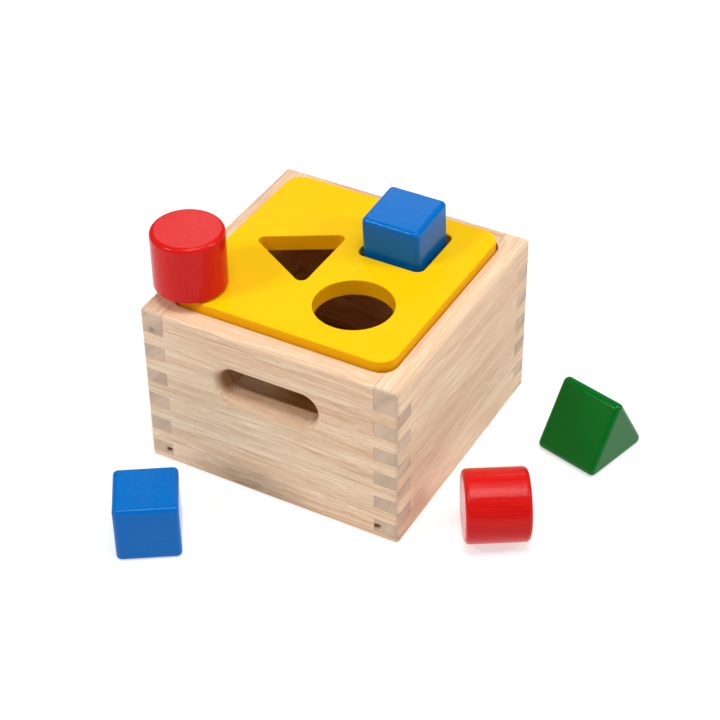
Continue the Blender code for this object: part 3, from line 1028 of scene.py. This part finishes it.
def hang_light(name, watts, where, size, target):
    data = bpy.data.lights.new(name, "AREA")
    data.shape = "RECTANGLE"
    data.size, data.size_y = size
    data.energy = watts
    light = bpy.data.objects.new(name, data)
    light.location = where
    bpy.context.scene.collection.objects.link(light)
    aim(light, target)


def lay_floor(stage):
    mat, tree, shader = new_material("white_floor", stage.floor_colour)
    position = put(tree, "TexCoord").outputs["Object"]
    mottle = speckle(tree, position, FLOOR_MOTTLE, 0.0, 2.0)
    tree.links.new(graded(tree, mottle, 0.0, 1.0, 0.75, 0.85), shader.inputs["Roughness"])
    shader.inputs["Base Color"].default_value = (*stage.floor_colour, 1.0)
    shader.inputs["Specular IOR Level"].default_value = 0.1
    shader.inputs["Emission Color"].default_value = (1.0, 1.0, 1.0, 1.0)
    shader.inputs["Emission Strength"].default_value = stage.floor_glow
    bm = bmesh.new()
    bmesh.ops.create_grid(bm, x_segments=8, y_segments=8, size=0.5 * stage.floor_size)
    floor = add_object("floor", bm, mat)
    floor.location = (0.0, 0.0, -FLOOR_DROP)


class SORTER_OT_stage(bpy.types.Operator):
    """Lay the pale floor, hang the soft lights and set up the camera"""

    bl_idname = "sorter.stage"
    bl_label = "Stage"

    def execute(self, context):
        scene = context.scene
        stage = scene.sorter_stage
        lay_floor(stage)
        for side in ("key", "top", "back", "left", "right"):
            watts, where, size = (getattr(stage, f"{side}_{part}") for part in ("power", "place", "size"))
            hang_light(side + "_light", watts, where, size, stage.camera_target)
        world = bpy.data.worlds.new("soft_sky")
        world.use_nodes = True
        sky = world.node_tree.nodes["Background"]
        sky.inputs["Color"].default_value = (1.0, 1.0, 1.0, 1.0)
        sky.inputs["Strength"].default_value = stage.sky
        scene.world = world
        data = bpy.data.cameras.new("camera")
        data.lens = stage.camera_lens
        data.sensor_width = 36.0
        camera = bpy.data.objects.new("camera", data)
        camera.location = stage.camera_place
        scene.collection.objects.link(camera)
        aim(camera, stage.camera_target, stage.camera_roll)
        scene.camera = camera
        scene.view_settings.view_transform = "Standard"
        scene.view_settings.look = "None"
        return {"FINISHED"}


# Add-on


PIECES = (SORTER_OT_walls, SORTER_OT_bottom_panel, SORTER_OT_lid, SORTER_OT_cubes)
PIECES += (SORTER_OT_cylinders, SORTER_OT_prism, SORTER_OT_stage)
SETTINGS = (
    ("sorter_box", SorterBoxSettings),
    ("sorter_lid", SorterLidSettings),
    ("sorter_blocks", SorterBlockSettings),
    ("sorter_stage", SorterStageSettings),
)


class SORTER_PT_pieces(bpy.types.Panel):
    """Build each piece of the shape sorter"""

    bl_idname = "SORTER_PT_pieces"
    bl_label = "Shape sorter"
    bl_space_type = "VIEW_3D"
    bl_region_type = "UI"
    bl_category = "Shape sorter"

    def draw(self, context):
        for piece in PIECES:
            self.layout.operator(piece.bl_idname)
        for name, _ in SETTINGS:
            settings = getattr(context.scene, name)
            shelf = self.layout.box()
            for key in settings.__annotations__:
                shelf.prop(settings, key)


def register():
    for name, settings in SETTINGS:
        bpy.utils.register_class(settings)
        setattr(bpy.types.Scene, name, PointerProperty(type=settings))
    for cls in (*PIECES, SORTER_PT_pieces):
        bpy.utils.register_class(cls)


def unregister():
    for cls in (SORTER_PT_pieces, *reversed(PIECES)):
        bpy.utils.unregister_class(cls)
    for name, settings in reversed(SETTINGS):
        delattr(bpy.types.Scene, name)
        bpy.utils.unregister_class(settings)


def main():
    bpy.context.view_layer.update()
    register()
    bpy.ops.sorter.walls()
    bpy.ops.sorter.bottom_panel()
    bpy.ops.sorter.lid()
    bpy.ops.sorter.cubes()
    bpy.ops.sorter.cylinders()
    bpy.ops.sorter.prism()
    bpy.ops.sorter.stage()
    bpy.context.view_layer.update()


if __name__ == "__main__":
    main()
